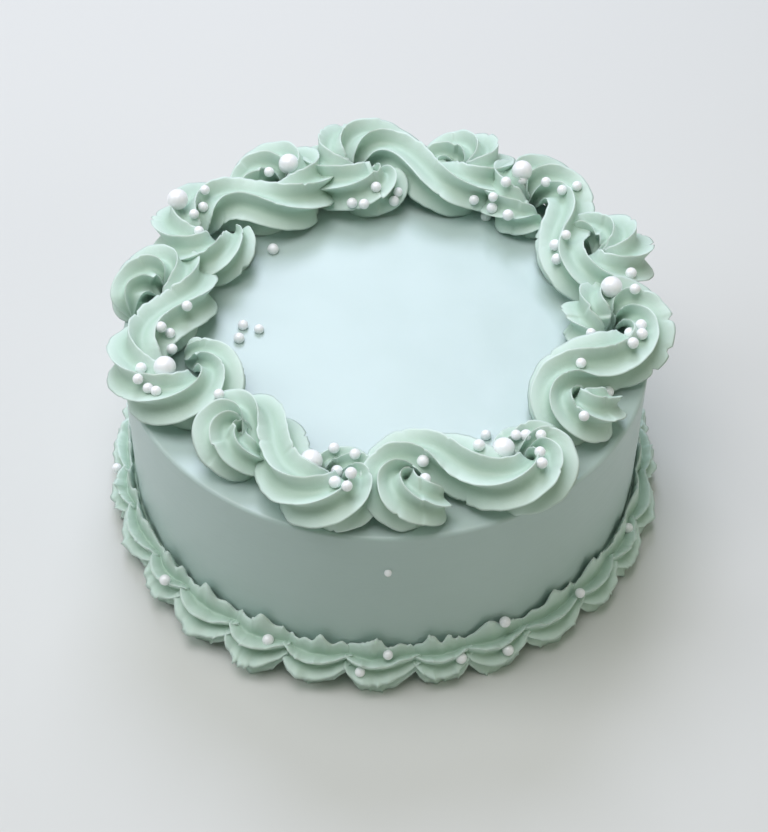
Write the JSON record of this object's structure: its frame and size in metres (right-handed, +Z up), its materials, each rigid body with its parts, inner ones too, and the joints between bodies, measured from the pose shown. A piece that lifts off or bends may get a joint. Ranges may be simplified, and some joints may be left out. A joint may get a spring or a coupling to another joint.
{
  "type": "layer cake",
  "caption": "Round single-tier layer cake in pale mint buttercream, with piped S-scrolls round the top, a piped shell border round the foot and white sugar pearls.",
  "frame": {"origin": "middle of the cake's foot, on the surface it stands on", "axes": "+Z up; -Y is the front, where the camera of the picture stands; the scrolls are numbered counter-clockwise seen from above"},
  "size_m": [0.2214, 0.2223, 0.1027],
  "materials": {
    "buttercream": "smoothed pale mint buttercream, satin",
    "piped_buttercream": "piped mint buttercream with crisp ridges, satin",
    "sugar_pearl": "white pearly sugar"
  },
  "bodies": {
    "root": {"iced_cake": "buttercream", "scroll_1": "piped_buttercream", "scroll_2": "piped_buttercream", "scroll_3": "piped_buttercream", "scroll_4": "piped_buttercream", "scroll_5": "piped_buttercream", "scroll_6": "piped_buttercream", "scroll_7": "piped_buttercream", "large_pearl_1": "sugar_pearl", "large_pearl_2": "sugar_pearl", "large_pearl_3": "sugar_pearl", "large_pearl_4": "sugar_pearl", "large_pearl_5": "sugar_pearl", "large_pearl_6": "sugar_pearl", "large_pearl_7": "sugar_pearl", "shell_00": "piped_buttercream", "shell_01": "piped_buttercream", "shell_02": "piped_buttercream", "shell_03": "piped_buttercream", "shell_04": "piped_buttercream", "shell_05": "piped_buttercream", "shell_06": "piped_buttercream", "shell_07": "piped_buttercream", "shell_08": "piped_buttercream", "shell_09": "piped_buttercream", "shell_10": "piped_buttercream", "shell_11": "piped_buttercream", "shell_12": "piped_buttercream", "shell_13": "piped_buttercream", "shell_14": "piped_buttercream", "shell_15": "piped_buttercream", "shell_16": "piped_buttercream", "shell_17": "piped_buttercream", "shell_18": "piped_buttercream", "shell_19": "piped_buttercream", "shell_20": "piped_buttercream", "shell_21": "piped_buttercream", "shell_22": "piped_buttercream", "shell_23": "piped_buttercream", "shell_24": "piped_buttercream", "shell_25": "piped_buttercream", "shell_26": "piped_buttercream", "shell_27": "piped_buttercream"}
  },
  "joints": []
}
